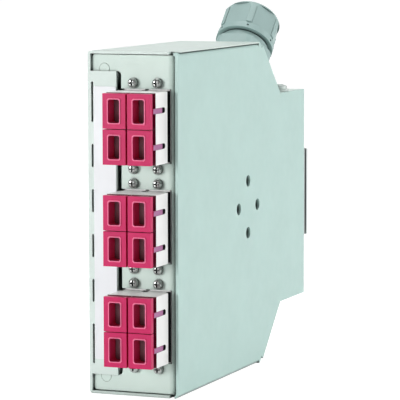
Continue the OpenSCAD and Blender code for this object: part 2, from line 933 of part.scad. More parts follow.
module rail_clip() {
    color("#dfe4e3") difference() {
        union() {
            upright(clip_low, clip_high) clip_section();
            across(-hook_w / 2, hook_w / 2) hook_outline();
            block([-stop_w / 2, rear + clip_t - eps, stop_low],
                  [stop_w / 2, leaf_y + eps, stop_low + stop_h]);
        }
        for (x = [-clip_screw_x, clip_screw_x], z = [-clip_screw_z, clip_screw_z]) {
            translate([x, 0, clip_z + z]) {
                rod_y(clip_screw_d + fit, rear - 1, rear + clip_t + 1);
                rod_y(clip_screw_head_d + 2 * small, rear + clip_t, seat_y + 1);
            }
        }
    }
}

// Side view of the foot of the latch, in Y and Z
module latch_outline() {
    translate([latch_y, latch_foot_z - pull_l]) square([latch_t, latch_high - latch_foot_z + pull_l]);
    translate([latch_y, latch_foot_z]) square([lip_y + hook_t - latch_y, latch_foot_t]);
    translate([lip_y, latch_foot_z]) square([hook_t, latch_foot_t + hook_lip + small]);
}

module rail_latch() {
    slot_z = latch_foot_z - pull_l + pull_slot_up;
    color("#cfd5d4") difference() {
        across(-latch_w / 2, latch_w / 2) latch_outline();
        block([-window_w / 2, latch_y - 1, window_low], [window_w / 2, latch_y + latch_t + 1, window_high]);
        for (s = [-1, 1]) {
            block([s > 0 ? pull_w / 2 : -latch_w, latch_y - 1, latch_foot_z - pull_l - 1],
                  [s > 0 ? latch_w : -pull_w / 2, latch_y + latch_t + 1, latch_foot_z]);
        }
        along(latch_y - 1, latch_y + latch_t + 1)
            round_rect([-pull_slot_w / 2, slot_z], [pull_slot_w / 2, slot_z + pull_slot_h], pull_slot_r);
    }
}

module clip_screws() {
    color("#b9bcbc") for (x = [-clip_screw_x, clip_screw_x], z = [-clip_screw_z, clip_screw_z]) {
        translate([x, rear + clip_t, clip_z + z]) {
            mirror([0, 1, 0]) pan_head(clip_screw_head_d, clip_screw_head_h);
            rod_y(clip_screw_d, -clip_t - sheet - clip_nut_t - screw_spare, 0);
        }
    }
}

module clip_nuts() {
    color("#b9bcbc") for (x = [-clip_screw_x, clip_screw_x], z = [-clip_screw_z, clip_screw_z]) {
        translate([x, rear - sheet, clip_z + z]) rotate([90, 0, 0]) difference() {
            linear_extrude(height = clip_nut_t) hexagon(clip_nut_af);
            translate([0, 0, -1]) cylinder(d = clip_screw_d + 2 * thread_fit, h = clip_nut_t + 2);
        }
    }
}

// Flat wave spring between the fixed stop and the top of the latch's window
module latch_spring() {
    low = stop_low + stop_h;
    pitch = (window_high - small - low - spring_wire) / spring_turns;
    reach = stop_w / 2 - (pitch + spring_wire) / 2;
    color("#9aa0a0") along(rear + clip_t + (clip_space - spring_depth) / 2,
                           rear + clip_t + (clip_space + spring_depth) / 2) {
        for (i = [0:spring_turns]) {
            translate([-reach, low + i * pitch]) square([2 * reach, spring_wire]);
        }
        for (i = [0:spring_turns - 1]) {
            z = low + spring_wire / 2 + (i + 0.5) * pitch;
            mirror([i % 2, 0]) translate([reach, z]) difference() {
                circle(d = pitch + spring_wire);
                circle(d = pitch - spring_wire);
                translate([-pitch, -pitch]) square([pitch, 2 * pitch]);
            }
        }
    }
}

// Splice tray

module tray_screw_places() {
    for (y = [tray_front + tray_corner, tray_front + tray_l - tray_corner]) {
        translate([0, y, tray_low + tray_corner]) children();
    }
    translate([0, tray_mid_y, tray_low + tray_h - tray_corner]) children();
}

module tray_outline(inset = 0) {
    round_rect([tray_front + inset, tray_low + inset],
               [tray_front + tray_l - inset, tray_low + tray_h - inset], tray_r - inset);
}

module splice_tray() {
    color("#3b4144") difference() {
        union() {
            across(tray_x, tray_x + tray_rim) difference() {
                tray_outline();
                tray_outline(tray_t);
            }
            across(tray_x, tray_x + tray_t) tray_outline();
            for (y = [tray_front + hub_d / 2 + hub_side, tray_front + tray_l - hub_d / 2 - hub_side]) {
                translate([0, y, tray_low + tray_h - hub_d / 2 - hub_top]) difference() {
                    rod_x(hub_d, tray_x, tray_x + tray_rim - small);
                    rod_x(hub_d - 2 * hub_wall, tray_x + tray_t, tray_x + tray_rim + 1);
                }
            }
            tray_screw_places() rod_x(tray_post_d, inner_left, tray_x + tray_t);
        }
        tray_screw_places() rod_x(tray_screw_d + fit, inner_left - 1, tray_x + tray_t + 1);
        across(tray_x + tray_t, tray_x + tray_rim + 1)
            translate([tray_front - 1, tray_mid_z - tray_mouth / 2]) square([tray_t + 2, tray_mouth]);
    }
}

module splice_holder() {
    x0 = tray_x + tray_t;
    z0 = tray_low + holder_low;
    color("#e8e8e4") difference() {
        block([x0, tray_mid_y - holder_w / 2, z0],
              [x0 + holder_block_t, tray_mid_y + holder_w / 2, z0 + holder_length]);
        for (i = [0:holder_slots - 1]) {
            z = z0 + holder_end + (i + 0.5) * splice_pitch;
            block([x0 + holder_floor, tray_mid_y - holder_w, z - splice_w / 2],
                  [x0 + holder_block_t + 1, tray_mid_y + holder_w, z + splice_w / 2]);
        }
    }
}

module tray_lid() {
    color("#dfe8ea", 0.5) across(tray_x + tray_rim, tray_x + tray_rim + sheet) tray_outline();
}

module tray_screws() {
    color("#b9bcbc") tray_screw_places() {
        rod_x(tray_screw_d, left, tray_x + tray_t);
        translate([tray_x + tray_t, 0, 0]) rotate([0, 0, 90])
            pan_head(tray_screw_head_d, tray_screw_head_h);
    }
}

housing_shell();
side_cover();
cover_screws();
front_panel();
panel_studs();
panel_nuts();
label_strip();
adapter_screws();
adapter_nuts();
translate(adapter_place(1)) adapter_body();  // adapter_body_1
translate(adapter_place(2)) adapter_body();  // adapter_body_2
translate(adapter_place(3)) adapter_body();  // adapter_body_3
translate(adapter_place(4)) adapter_body();  // adapter_body_4
translate(adapter_place(5)) adapter_body();  // adapter_body_5
translate(adapter_place(6)) adapter_body();  // adapter_body_6
alignment_sleeves();
for (i = [1:12]) {
    translate(port_place(i)) coding_frame();
    translate(port_place(i)) port_shutter();
}
gland_washer();
gland_body();
gland_seal();
gland_cap();
gland_locknut();
earth_screw();
earth_washer();
earth_nut();
rail_clip();
clip_screws();
clip_nuts();
rail_latch();
latch_spring();
splice_tray();
splice_holder();
tray_lid();
tray_screws();
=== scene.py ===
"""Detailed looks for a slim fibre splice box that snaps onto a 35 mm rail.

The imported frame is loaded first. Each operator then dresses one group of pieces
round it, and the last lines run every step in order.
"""

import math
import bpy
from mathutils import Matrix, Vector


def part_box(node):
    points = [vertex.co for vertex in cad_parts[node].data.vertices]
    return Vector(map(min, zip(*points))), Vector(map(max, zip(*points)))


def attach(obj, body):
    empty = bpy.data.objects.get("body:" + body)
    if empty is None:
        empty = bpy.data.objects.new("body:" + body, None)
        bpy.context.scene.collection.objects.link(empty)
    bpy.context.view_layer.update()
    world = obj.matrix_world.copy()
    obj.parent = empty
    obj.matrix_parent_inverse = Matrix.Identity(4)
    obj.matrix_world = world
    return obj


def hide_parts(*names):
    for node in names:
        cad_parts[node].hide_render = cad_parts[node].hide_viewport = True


bl_info = {
    "name": "Fibre splice box looks",
    "version": (1, 0, 0),
    "blender": (4, 5, 0),
    "location": "View3D > Sidebar > Fibre Box",
    "description": "Dresses the frame of a rail mounted fibre splice box, piece by piece",
    "category": "Object",
}

import bpy
from mathutils import Matrix, Vector

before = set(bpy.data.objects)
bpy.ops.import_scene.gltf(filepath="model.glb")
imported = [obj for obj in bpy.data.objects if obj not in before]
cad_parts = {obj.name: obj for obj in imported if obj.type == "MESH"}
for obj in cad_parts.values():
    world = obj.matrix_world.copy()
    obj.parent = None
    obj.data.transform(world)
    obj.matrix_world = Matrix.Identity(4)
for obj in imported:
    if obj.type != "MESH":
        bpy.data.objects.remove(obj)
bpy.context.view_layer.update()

MM = 0.001
PORTS = range(1, 13)
ADAPTERS = range(1, 7)
RIB_COUNT = 6
finishes = {}

# Merging, shading and marking: a hair lets a test take in what lies on its border

MERGE_DISTANCE = 1e-6
FLAT_ANGLE = math.radians(0.4)
SMOOTH_ANGLE = math.radians(38)
FACET_ANGLE = math.radians(14)
FINE_EDGE = 0.04 * MM
HAIR = 0.05 * MM
FRONT_SKIN = 0.03 * MM

# The folded steel, in millimetres: the sheet, the lip over the cover's upper fold, the seam
# beside the folds, how far that fold rises, and how far tests and cutters reach past the sheet

SHEET = 1.0
LIP = 0.36
SEAM = 0.12
FOLD_RISE = 0.6
SPARE = 0.1
OVERCUT = 1

# The stage, in metres and degrees: each lamp has its setting, its size and its place

CAMERA_PLACE = (0.361927, -0.882673, 0.168373)
CAMERA_TURN = (-21.806, 6.053, -0.135)
AIM = Vector((0, 0, 0.06))
LAMPS = (
    ("key_lamp", "key_power", 0.3, (-0.62, -0.95, 0.2)),
    ("side_lamp", "side_power", 0.45, (1.15, 0.32, 0.42)),
    ("top_lamp", "top_power", 0.9, (-0.1, 0.15, 1.3)),
)
FLOOR_HALF = 4
SWEEP_RADIUS = 1.2
GLOW_LEVEL = 1.32
GLOW_SHARE = 0.72


# Colours and settings


def tint(red, green, blue):
    """A colour written as 0 to 255 on the screen, as the shaders read it."""
    return tuple(
        c / 3294.6 if c <= 10.31 else ((c / 255 + 0.055) / 1.055) ** 2.4
        for c in (red, green, blue)
    )


def colour_property(name, description, rgb):
    """A colour setting, its default written as 0 to 255."""
    return bpy.props.FloatVectorProperty(
        name=name, description=description, default=tint(*rgb), size=3,
        subtype="COLOR", min=0, max=1,
    )


def length_property(name, description, millimetres):
    """A length setting, its default written in millimetres."""
    return bpy.props.FloatProperty(
        name=name, description=description, default=millimetres * MM, min=0,
        subtype="DISTANCE", unit="LENGTH",
    )


class FIBREBOX_PG_housing(bpy.types.PropertyGroup):
    """Paint and edges of the folded steel"""

    shell_paint: colour_property("Shell paint", "Paint of the folded shell", (214, 228, 222))
    cover_paint: colour_property("Cover paint", "Paint of the side cover", (184, 212, 206))
    panel_paint: colour_property("Panel paint", "Paint of the front panel", (210, 227, 219))
    label_film: colour_property("Label", "Colour of the blank label film", (230, 233, 236))
    cut_edge: length_property("Cut edge", "Radius of the painted cut edges", 0.14)
    fold_radius: length_property("Fold radius", "Outer radius of the cover's folds", 1.6)
    fold_end: length_property("Fold end", "Where the cover's folds end, measured to the back", 39.6)
    label_corner: length_property("Label corner", "Corner radius of the label", 0.6)


class FIBREBOX_PG_adapters(bpy.types.PropertyGroup):
    """Finish of the adapters, their coding frames and shutters, with the shade, highlight and
    reflection painted on them
    """

    body_plastic: colour_property("Body", "Plastic of the adapter bodies", (250, 249, 248))
    frame_plastic: colour_property("Coding frame", "Plastic of the coding frames", (204, 38, 98))
    shutter_metal: colour_property("Shutter", "Metal of the sprung shutters", (176, 150, 158))
    # Painted shade in the grooves, the slots and on the fronts behind the frames
    recess_shade: colour_property("Recess", "Shade in the grooves and slots", (14, 14, 18))
    front_shade: colour_property("Shaded front", "Shade behind the frames", (88, 0, 34))
    # Painted highlight on the frames' rims and painted reflection on their arms
    rim_highlight_colour: colour_property("Rim", "Raised rim of a coding frame", (240, 120, 160))
    arm_reflection_colour: colour_property("Arm", "Arms of a coding frame", (172, 112, 154))
    frame_edge: length_property("Frame edge", "Edge radius of a coding frame", 0.16)
    body_edge: length_property("Body edge", "Edge radius of an adapter body", 0.12)


class FIBREBOX_PG_fittings(bpy.types.PropertyGroup):
    """Finish of the gland, the screws and the rail clip"""

    gland_plastic: colour_property("Gland", "Plastic of the cable gland", (158, 184, 181))
    seal_rubber: colour_property("Seal", "Rubber of the seals", (44, 48, 50))
    clip_steel: colour_property("Clip", "Plated steel of the rail clip", (205, 211, 209))
    screw_metal: colour_property("Screws", "Plating of the screws", (176, 179, 177))
    zinc_plate: colour_property("Zinc", "Zinc plating of the earth screw", (204, 214, 210))
    gland_edge: length_property("Gland edge", "Edge radius of the gland's nuts", 0.3)


class FIBREBOX_PG_stage(bpy.types.PropertyGroup):
    """Floor, lamps and camera"""

    floor_paint: colour_property("Floor", "Colour of the floor and the backdrop", (243, 244, 244))
    key_power: bpy.props.FloatProperty(
        name="Key lamp", description="Power of the soft lamp at the left", default=6.5,
        min=0, unit="POWER")
    side_power: bpy.props.FloatProperty(
        name="Side lamp", description="Power of the soft lamp at the right", default=7.0,
        min=0, unit="POWER")
    top_power: bpy.props.FloatProperty(
        name="Top lamp", description="Power of the wide lamp above", default=8.6,
        min=0, unit="POWER")
    sky_level: bpy.props.FloatProperty(
        name="Sky", description="Level of the even light from all round", default=0.3, min=0)
    lens: bpy.props.FloatProperty(
        name="Lens", description="Focal length of the camera on a 36 mm sensor, in millimetres",
        default=229.86, min=1)


SETTINGS = {
    "fibrebox_housing": FIBREBOX_PG_housing,
    "fibrebox_adapters": FIBREBOX_PG_adapters,
    "fibrebox_fittings": FIBREBOX_PG_fittings,
    "fibrebox_stage": FIBREBOX_PG_stage,
}


# Finishes


def new_finish(name, colour, roughness, metallic=0.0, specular=0.5, clear=0.0):
    """A material with its plain values set on the shader itself."""
    finish = bpy.data.materials.new(name)
    finish.use_nodes = True
    shader = finish.node_tree.nodes["Principled BSDF"]
    shader.inputs["Base Color"].default_value = (*colour, 1)
    shader.inputs["Roughness"].default_value = roughness
    shader.inputs["Metallic"].default_value = metallic
    shader.inputs["Specular IOR Level"].default_value = specular
    shader.inputs["Transmission Weight"].default_value = clear
    finish.diffuse_color = (*colour, 1)
    finishes[name] = finish
    return finish


def tree_of(finish):
    """The nodes and links of a material, and its main shader."""
    tree = finish.node_tree
    return tree.nodes, tree.links, tree.nodes["Principled BSDF"]


def noise(finish, scale, detail=3.0, stretch=(1, 1, 1)):
    """A noise pattern on the piece's own coordinates."""
    nodes, links = tree_of(finish)[:2]
    place = nodes.new("ShaderNodeTexCoord")
    mapping = nodes.new("ShaderNodeMapping")
    mapping.inputs["Scale"].default_value = stretch
    pattern = nodes.new("ShaderNodeTexNoise")
    pattern.inputs["Scale"].default_value = scale
    pattern.inputs["Detail"].default_value = detail
    links.new(place.outputs["Object"], mapping.inputs["Vector"])
    links.new(mapping.outputs["Vector"], pattern.inputs["Vector"])
    return pattern


def add_mottle(finish, colour, other, scale, stretch=(1, 1, 1)):
    """Lets the colour wander softly between two tints."""
    nodes, links, shader = tree_of(finish)
    pattern = noise(finish, scale, 4.0, stretch)
    ramp = nodes.new("ShaderNodeValToRGB")
    ramp.color_ramp.elements[0].position = 0.35
    ramp.color_ramp.elements[0].color = (*other, 1)
    ramp.color_ramp.elements[1].position = 0.65
    ramp.color_ramp.elements[1].color = (*colour, 1)
    links.new(pattern.outputs["Fac"], ramp.inputs["Fac"])
    links.new(ramp.outputs["Color"], shader.inputs["Base Color"])


def add_sheen_change(finish, low, high, scale, stretch=(1, 1, 1)):
    """Varies the roughness between two values."""
    nodes, links, shader = tree_of(finish)
    pattern = noise(finish, scale, 2.0, stretch)
    span = nodes.new("ShaderNodeMapRange")
    span.inputs["From Min"].default_value = 0.3
    span.inputs["From Max"].default_value = 0.7
    span.inputs["To Min"].default_value = low
    span.inputs["To Max"].default_value = high
    links.new(pattern.outputs["Fac"], span.inputs["Value"])
    links.new(span.outputs["Result"], shader.inputs["Roughness"])


def add_grain(finish, scale, height, strength=0.4, stretch=(1, 1, 1)):
    """Raises a fine grain, its height in metres."""
    nodes, links, shader = tree_of(finish)
    pattern = noise(finish, scale, 2.0, stretch)
    bump = nodes.new("ShaderNodeBump")
    bump.inputs["Distance"].default_value = height
    bump.inputs["Strength"].default_value = strength
    links.new(pattern.outputs["Fac"], bump.inputs["Height"])
    links.new(bump.outputs["Normal"], shader.inputs["Normal"])


def shade_of(colour, share):
    """A darker shade of a colour."""
    return tuple(c * share for c in colour)


def shade_hollows(finish, reach, deep, low=0.2, high=0.8):
    """Paints shade into hollows: leads the colour to a deep one there, within a reach in metres."""
    nodes, links, shader = tree_of(finish)
    base = shader.inputs["Base Color"]
    hollow = nodes.new("ShaderNodeAmbientOcclusion")
    hollow.samples = 8
    hollow.inputs["Distance"].default_value = reach
    span = nodes.new("ShaderNodeMapRange")
    span.inputs["From Min"].default_value = low
    span.inputs["From Max"].default_value = high
    blend = nodes.new("ShaderNodeMix")
    blend.data_type = "RGBA"
    blend.inputs[6].default_value = (*deep, 1)
    links.new(hollow.outputs["AO"], span.inputs["Value"])
    links.new(span.outputs["Result"], blend.inputs[0])
    links.new(base.links[0].from_socket, blend.inputs[7])
    links.new(blend.outputs[2], base)


def worked_out(finish, operation, first, second):
    """A value worked out of a socket and another socket or a number."""
    nodes, links = tree_of(finish)[:2]
    step = nodes.new("ShaderNodeMath")
    step.operation = operation
    links.new(first, step.inputs[0])
    if isinstance(second, float):
        step.inputs[1].default_value = second
    else:
        links.new(second, step.inputs[1])
    return step.outputs[0]


def paint_light_on_marks(finish, mark, colour):
    """Paints shade, a highlight or a reflection as a colour onto the faces that carry a mark."""
    nodes, links, shader = tree_of(finish)
    base = shader.inputs["Base Color"]
    marked = nodes.new("ShaderNodeAttribute")
    marked.attribute_name = mark
    blend = nodes.new("ShaderNodeMix")
    blend.data_type = "RGBA"
    blend.inputs[7].default_value = (*colour, 1)
    links.new(marked.outputs["Fac"], blend.inputs[0])
    links.new(base.links[0].from_socket, blend.inputs[6])
    links.new(blend.outputs[2], base)


def powder_paint(name, colour):
    """Fine textured powder coat on steel, with shade painted into its hollows."""
    finish = new_finish(name, colour, 0.42, specular=0.45)
    add_mottle(finish, colour, shade_of(colour, 0.965), scale=55)
    add_sheen_change(finish, 0.38, 0.5, scale=300)
    add_grain(finish, scale=1500, height=0.03 * MM, strength=0.25)
    # Painted shade, deep green, in the hollows of the paint
    shade_hollows(finish, 3 * MM, tint(44, 60, 56), low=0.15, high=0.75)
    return finish


def moulded_plastic(name, colour, low=0.28, high=0.4, grain=0.15, specular=0.5, clear=0.0):
    """Injection moulded plastic with faint flow marks."""
    finish = new_finish(name, colour, low, specular=specular, clear=clear)
    add_mottle(finish, colour, shade_of(colour, 0.93), scale=120, stretch=(1, 1, 0.35))
    add_sheen_change(finish, low, high, scale=400)
    add_grain(finish, scale=2600, height=0.02 * MM, strength=grain)
    return finish


def brushed_metal(name, colour, low=0.24, high=0.4, stretch=(1, 1, 0.04), metallic=1.0):
    """Plated steel with drawn streaks."""
    finish = new_finish(name, colour, low, metallic=metallic)
    add_mottle(finish, colour, shade_of(colour, 0.86), scale=900, stretch=stretch)
    add_sheen_change(finish, low, high, scale=1400, stretch=stretch)
    add_grain(finish, scale=2500, height=0.01 * MM, strength=0.2, stretch=stretch)
    return finish


def rubber(name, colour):
    """Dull rubber with a faint grain."""
    finish = new_finish(name, colour, 0.7, specular=0.3)
    add_mottle(finish, colour, shade_of(colour, 0.8), scale=500)
    add_grain(finish, scale=3000, height=0.03 * MM, strength=0.3)
    return finish


# Modelling helpers


def select_only(*pieces):
    """Selects the pieces and makes the first one active."""
    bpy.ops.object.select_all(action="DESELECT")
    for piece in pieces:
        piece.select_set(True)
    bpy.context.view_layer.objects.active = pieces[0]


def edit_all(piece):
    """Opens a piece in edit mode with everything selected."""
    select_only(piece)
    bpy.ops.object.mode_set(mode="EDIT")
    bpy.ops.mesh.select_all(action="SELECT")


def close_edit():
    """Goes back to object mode."""
    bpy.ops.object.mode_set(mode="OBJECT")


def pick_faces(piece, test):
    """Selects the faces whose centre and normal pass the test, in edit mode."""
    bpy.ops.mesh.select_all(action="DESELECT")
    bpy.ops.mesh.select_mode(type="FACE")
    close_edit()
    for polygon in piece.data.polygons:
        polygon.select = bool(test(polygon.center, polygon.normal))
    bpy.ops.object.mode_set(mode="EDIT")


def mark_faces(piece, mark, test):
    """Stores 1 on the faces whose centre passes the test, and 0 on the others."""
    values = piece.data.attributes.new(mark, "FLOAT", "FACE").data
    for polygon in piece.data.polygons:
        values[polygon.index].value = float(test(polygon.center))


def apply_modifier(piece, kind, **values):
    """Adds a modifier with its values and applies it."""
    modifier = piece.modifiers.new(kind.title(), kind)
    for key, value in values.items():
        setattr(modifier, key, value)
    select_only(piece)
    bpy.ops.object.modifier_apply(modifier=modifier.name)


def settle(name):
    """Names the active object and puts its place into its mesh."""
    piece = bpy.context.object
    piece.name = name
    piece.data.name = name
    bpy.ops.object.transform_apply(location=True, rotation=True, scale=True)
    return piece


def round_edges(piece, radius, segments=2, angle=30, smooth=SMOOTH_ANGLE):
    """Rounds the sharp edges and keeps the flats flat in the shading."""
    apply_modifier(
        piece, "BEVEL", width=radius, segments=segments, limit_method="ANGLE",
        angle_limit=math.radians(angle), use_clamp_overlap=True,
    )
    select_only(piece)
    bpy.ops.object.shade_smooth_by_angle(angle=smooth)
    apply_modifier(piece, "WEIGHTED_NORMAL", keep_sharp=True)


def copy_of_node(node, name):
    """A merged copy of a CAD node, to be shaped further."""
    piece = bpy.data.objects.new(name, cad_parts[node].data.copy())
    piece.data.name = name
    piece.data.materials.clear()
    bpy.context.scene.collection.objects.link(piece)
    edit_all(piece)
    bpy.ops.mesh.remove_doubles(threshold=MERGE_DISTANCE)
    bpy.ops.mesh.dissolve_limited(angle_limit=FLAT_ANGLE)
    close_edit()
    return piece


def copy_piece(piece, name, offset):
    """Another of a repeated piece, with its own mesh, moved by an offset."""
    twin = piece.copy()
    twin.data = piece.data.copy()
    twin.name = twin.data.name = name
    twin.data.transform(Matrix.Translation(offset))
    bpy.context.scene.collection.objects.link(twin)
    return twin


def copies(first, name, node, numbers):
    """The first piece and then its copies, each with its number and the node it stands for."""
    for number in numbers:
        twin_node = f"{node}_{number}"
        if number == 1:
            yield number, twin_node, first
        else:
            way = offset_between(f"{node}_1", twin_node)
            yield number, twin_node, copy_piece(first, f"{name}_{number}", way)


def offset_between(first, other):
    """The way from one node to another of the same shape."""
    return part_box(other)[0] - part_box(first)[0]


def centre_of(node):
    """The middle of a node's box."""
    low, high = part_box(node)
    return (low + high) / 2


def cut_away(piece, cutter):
    """Takes the cutter's shape out of a piece and removes the cutter."""
    apply_modifier(piece, "BOOLEAN", operation="DIFFERENCE", solver="EXACT", object=cutter)
    bpy.data.objects.remove(cutter)


def box_between(name, low, high):
    """A box between two corners in millimetres, to cut with or to shape further."""
    low, high = Vector(low) * MM, Vector(high) * MM
    bpy.ops.object.select_all(action="DESELECT")
    bpy.ops.mesh.primitive_cube_add(size=1, location=(low + high) / 2)
    bpy.ops.transform.resize(value=high - low)
    return settle(name)


def move_points(piece, test, offset):
    """Moves the points of a mesh that pass the test."""
    select_only(piece)
    bpy.ops.object.mode_set(mode="EDIT")
    bpy.ops.mesh.select_mode(type="VERT")
    bpy.ops.mesh.select_all(action="DESELECT")
    close_edit()
    for point in piece.data.vertices:
        point.select = bool(test(point.co / MM))
    bpy.ops.object.mode_set(mode="EDIT")
    bpy.ops.transform.translate(value=offset)
    close_edit()


def join_into(piece, *others):
    """Joins the others into the first piece."""
    select_only(piece, *others)
    bpy.ops.object.join()
    return piece


def fit_out(piece, finish, body, slot, *nodes):
    """Gives a finished piece its material, its body and the nodes it stands for."""
    piece.data.materials.clear()
    piece.data.materials.append(finish)
    for polygon in piece.data.polygons:
        polygon.material_index = 0
    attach(piece, body)
    if nodes:
        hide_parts(*nodes)
    return piece


def coat_node(node, finish):
    """Gives a CAD node that stays visible a better material."""
    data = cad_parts[node].data
    data.materials.clear()
    data.materials.append(finish)


def cross_cutter(reach, width, depth):
    """A tapered cross that cuts a screw's recess, opening towards -Y."""
    arms = []
    for size in ((reach, width), (width, reach)):
        bpy.ops.mesh.primitive_cube_add(size=1, location=(0, 0, 0))
        bpy.ops.transform.resize(value=(size[0], depth, size[1]))
        arm = settle("recess_arm")
        edit_all(arm)
        pick_faces(arm, lambda centre, normal: normal.y > 0.9)
        bpy.ops.transform.resize(value=(0.6, 1, 0.6))
        close_edit()
        arms.append(arm)
    apply_modifier(arms[0], "BOOLEAN", operation="UNION", solver="EXACT", object=arms[1])
    bpy.data.objects.remove(arms[1])
    return arms[0]


def pan_head(name, radius, height):
    """A pan head on its flat ring, with a cross recess, seated at the origin and facing -Y."""
    ring, groove, crown = height * 0.24, height * 0.08, height * 0.42
    rim, overhang = radius * 0.2, 1.17
    bpy.ops.object.select_all(action="DESELECT")
    bpy.ops.mesh.primitive_cylinder_add(
        vertices=48, radius=radius, depth=ring, location=(0, -ring / 2, 0),
        rotation=(math.pi / 2, 0, 0))
    head = settle(name)
    edit_all(head)
    pick_faces(head, lambda centre, normal: normal.y < -0.9)
    bpy.ops.mesh.inset(thickness=rim)
    bpy.ops.mesh.extrude_region_move(TRANSFORM_OT_translate={"value": (0, -groove, 0)})
    bpy.ops.mesh.extrude_region_move(TRANSFORM_OT_translate={"value": (0, 0, 0)})
    bpy.ops.transform.resize(value=(overhang, 1, overhang))
    bpy.ops.mesh.extrude_region_move(
        TRANSFORM_OT_translate={"value": (0, ring + groove - height, 0)})
    bpy.ops.mesh.bevel(offset=crown, segments=6, profile=0.5, affect="EDGES")
    close_edit()
    cutter = cross_cutter(reach=radius * 1.5, width=radius * 0.42, depth=height * 1.1)
    cutter.data.transform(Matrix.Translation((0, -height, 0)))
    cut_away(head, cutter)
    round_edges(head, FINE_EDGE, segments=1, angle=50)
    return head


# Operators, one for each group of pieces


class DressingOperator(bpy.types.Operator):
    """Common ground of the dressing steps"""

    bl_options = {"REGISTER", "UNDO"}


class FIBREBOX_OT_stage(DressingOperator):
    """Adds the floor, the backdrop, the lamps and the camera"""

    bl_idname = "fibrebox.stage"
    bl_label = "Stage"

    def execute(self, context):
        settings = context.scene.fibrebox_stage
        self.add_camera(settings.lens)
        self.add_floor(settings.floor_paint)
        self.add_sky(settings.sky_level)
        for name, power, size, place in LAMPS:
            self.add_lamp(name, getattr(settings, power), size, place)
        context.scene.view_settings.view_transform = "Standard"
        return {"FINISHED"}

    def add_camera(self, lens):
        """Stands the camera where the photograph was taken from."""
        yaw, pitch, roll = (math.radians(angle) for angle in CAMERA_TURN)
        world_to_view = (
            Matrix.Rotation(roll, 3, "Y")
            @ Matrix.Rotation(pitch, 3, "X")
            @ Matrix.Rotation(yaw, 3, "Z")
        )
        turn = world_to_view.transposed() @ Matrix.Rotation(math.pi / 2, 3, "X")
        data = bpy.data.cameras.new("photo_camera")
        data.lens = lens
        data.sensor_width = 36
        camera = bpy.data.objects.new("photo_camera", data)
        camera.matrix_world = Matrix.Translation(CAMERA_PLACE) @ turn.to_4x4()
        bpy.context.scene.collection.objects.link(camera)
        bpy.context.scene.camera = camera

    def add_floor(self, colour):
        """A floor that sweeps up into the backdrop."""
        bpy.ops.object.select_all(action="DESELECT")
        bpy.ops.mesh.primitive_plane_add(size=2 * FLOOR_HALF, location=(0, 0, 0))
        floor = settle("floor_sweep")
        edit_all(floor)
        bpy.ops.mesh.select_mode(type="EDGE")
        bpy.ops.mesh.select_all(action="DESELECT")
        close_edit()
        for edge in floor.data.edges:
            ends = [floor.data.vertices[i].co for i in edge.vertices]
            edge.select = all(co.y > FLOOR_HALF - 0.1 for co in ends)
        bpy.ops.object.mode_set(mode="EDIT")
        bpy.ops.mesh.extrude_region_move(TRANSFORM_OT_translate={"value": (0, 0, FLOOR_HALF)})
        bpy.ops.mesh.select_all(action="SELECT")
        close_edit()
        apply_modifier(floor, "BEVEL", width=SWEEP_RADIUS, segments=12, limit_method="ANGLE",
                       angle_limit=math.radians(40))
        bpy.ops.object.shade_smooth()
        floor.data.materials.append(self.floor_finish(colour))

    def floor_finish(self, colour):
        """A dull floor that glows for the camera and in reflections."""
        finish = new_finish("pale_floor", colour, 0.85, specular=0.1)
        nodes, links, shader = tree_of(finish)
        rays = nodes.new("ShaderNodeLightPath")
        glow = nodes.new("ShaderNodeEmission")
        glow.inputs["Color"].default_value = (1, 1, 1, 1)
        glow.inputs["Strength"].default_value = GLOW_LEVEL
        seen = worked_out(finish, "MAXIMUM", rays.outputs["Is Camera Ray"],
                          rays.outputs["Is Glossy Ray"])
        seen = worked_out(finish, "MAXIMUM", seen, rays.outputs["Is Transmission Ray"])
        share = worked_out(finish, "MULTIPLY", seen, GLOW_SHARE)
        mix = nodes.new("ShaderNodeMixShader")
        links.new(share, mix.inputs["Fac"])
        links.new(shader.outputs["BSDF"], mix.inputs[1])
        links.new(glow.outputs["Emission"], mix.inputs[2])
        links.new(mix.outputs["Shader"], nodes["Material Output"].inputs["Surface"])
        return finish

    def add_sky(self, level):
        """Even light from all round, seen as white."""
        world = bpy.data.worlds.new("white_sky")
        world.use_nodes = True
        nodes, links = world.node_tree.nodes, world.node_tree.links
        sky = nodes["Background"]
        sky.inputs["Color"].default_value = (1, 1, 1, 1)
        rays = nodes.new("ShaderNodeLightPath")
        span = nodes.new("ShaderNodeMapRange")
        span.inputs["To Min"].default_value = level
        span.inputs["To Max"].default_value = 1.0
        links.new(rays.outputs["Is Camera Ray"], span.inputs["Value"])
        links.new(span.outputs["Result"], sky.inputs["Strength"])
        bpy.context.scene.world = world

    def add_lamp(self, name, power, size, place):
        """A round soft lamp that looks at the object."""
        data = bpy.data.lights.new(name, "AREA")
        data.energy = power
        data.shape = "DISK"
        data.size = size
        lamp = bpy.data.objects.new(name, data)
        lamp.location = place
        direction = AIM - Vector(place)
        lamp.rotation_euler = direction.to_track_quat("-Z", "Y").to_euler()
        bpy.context.scene.collection.objects.link(lamp)


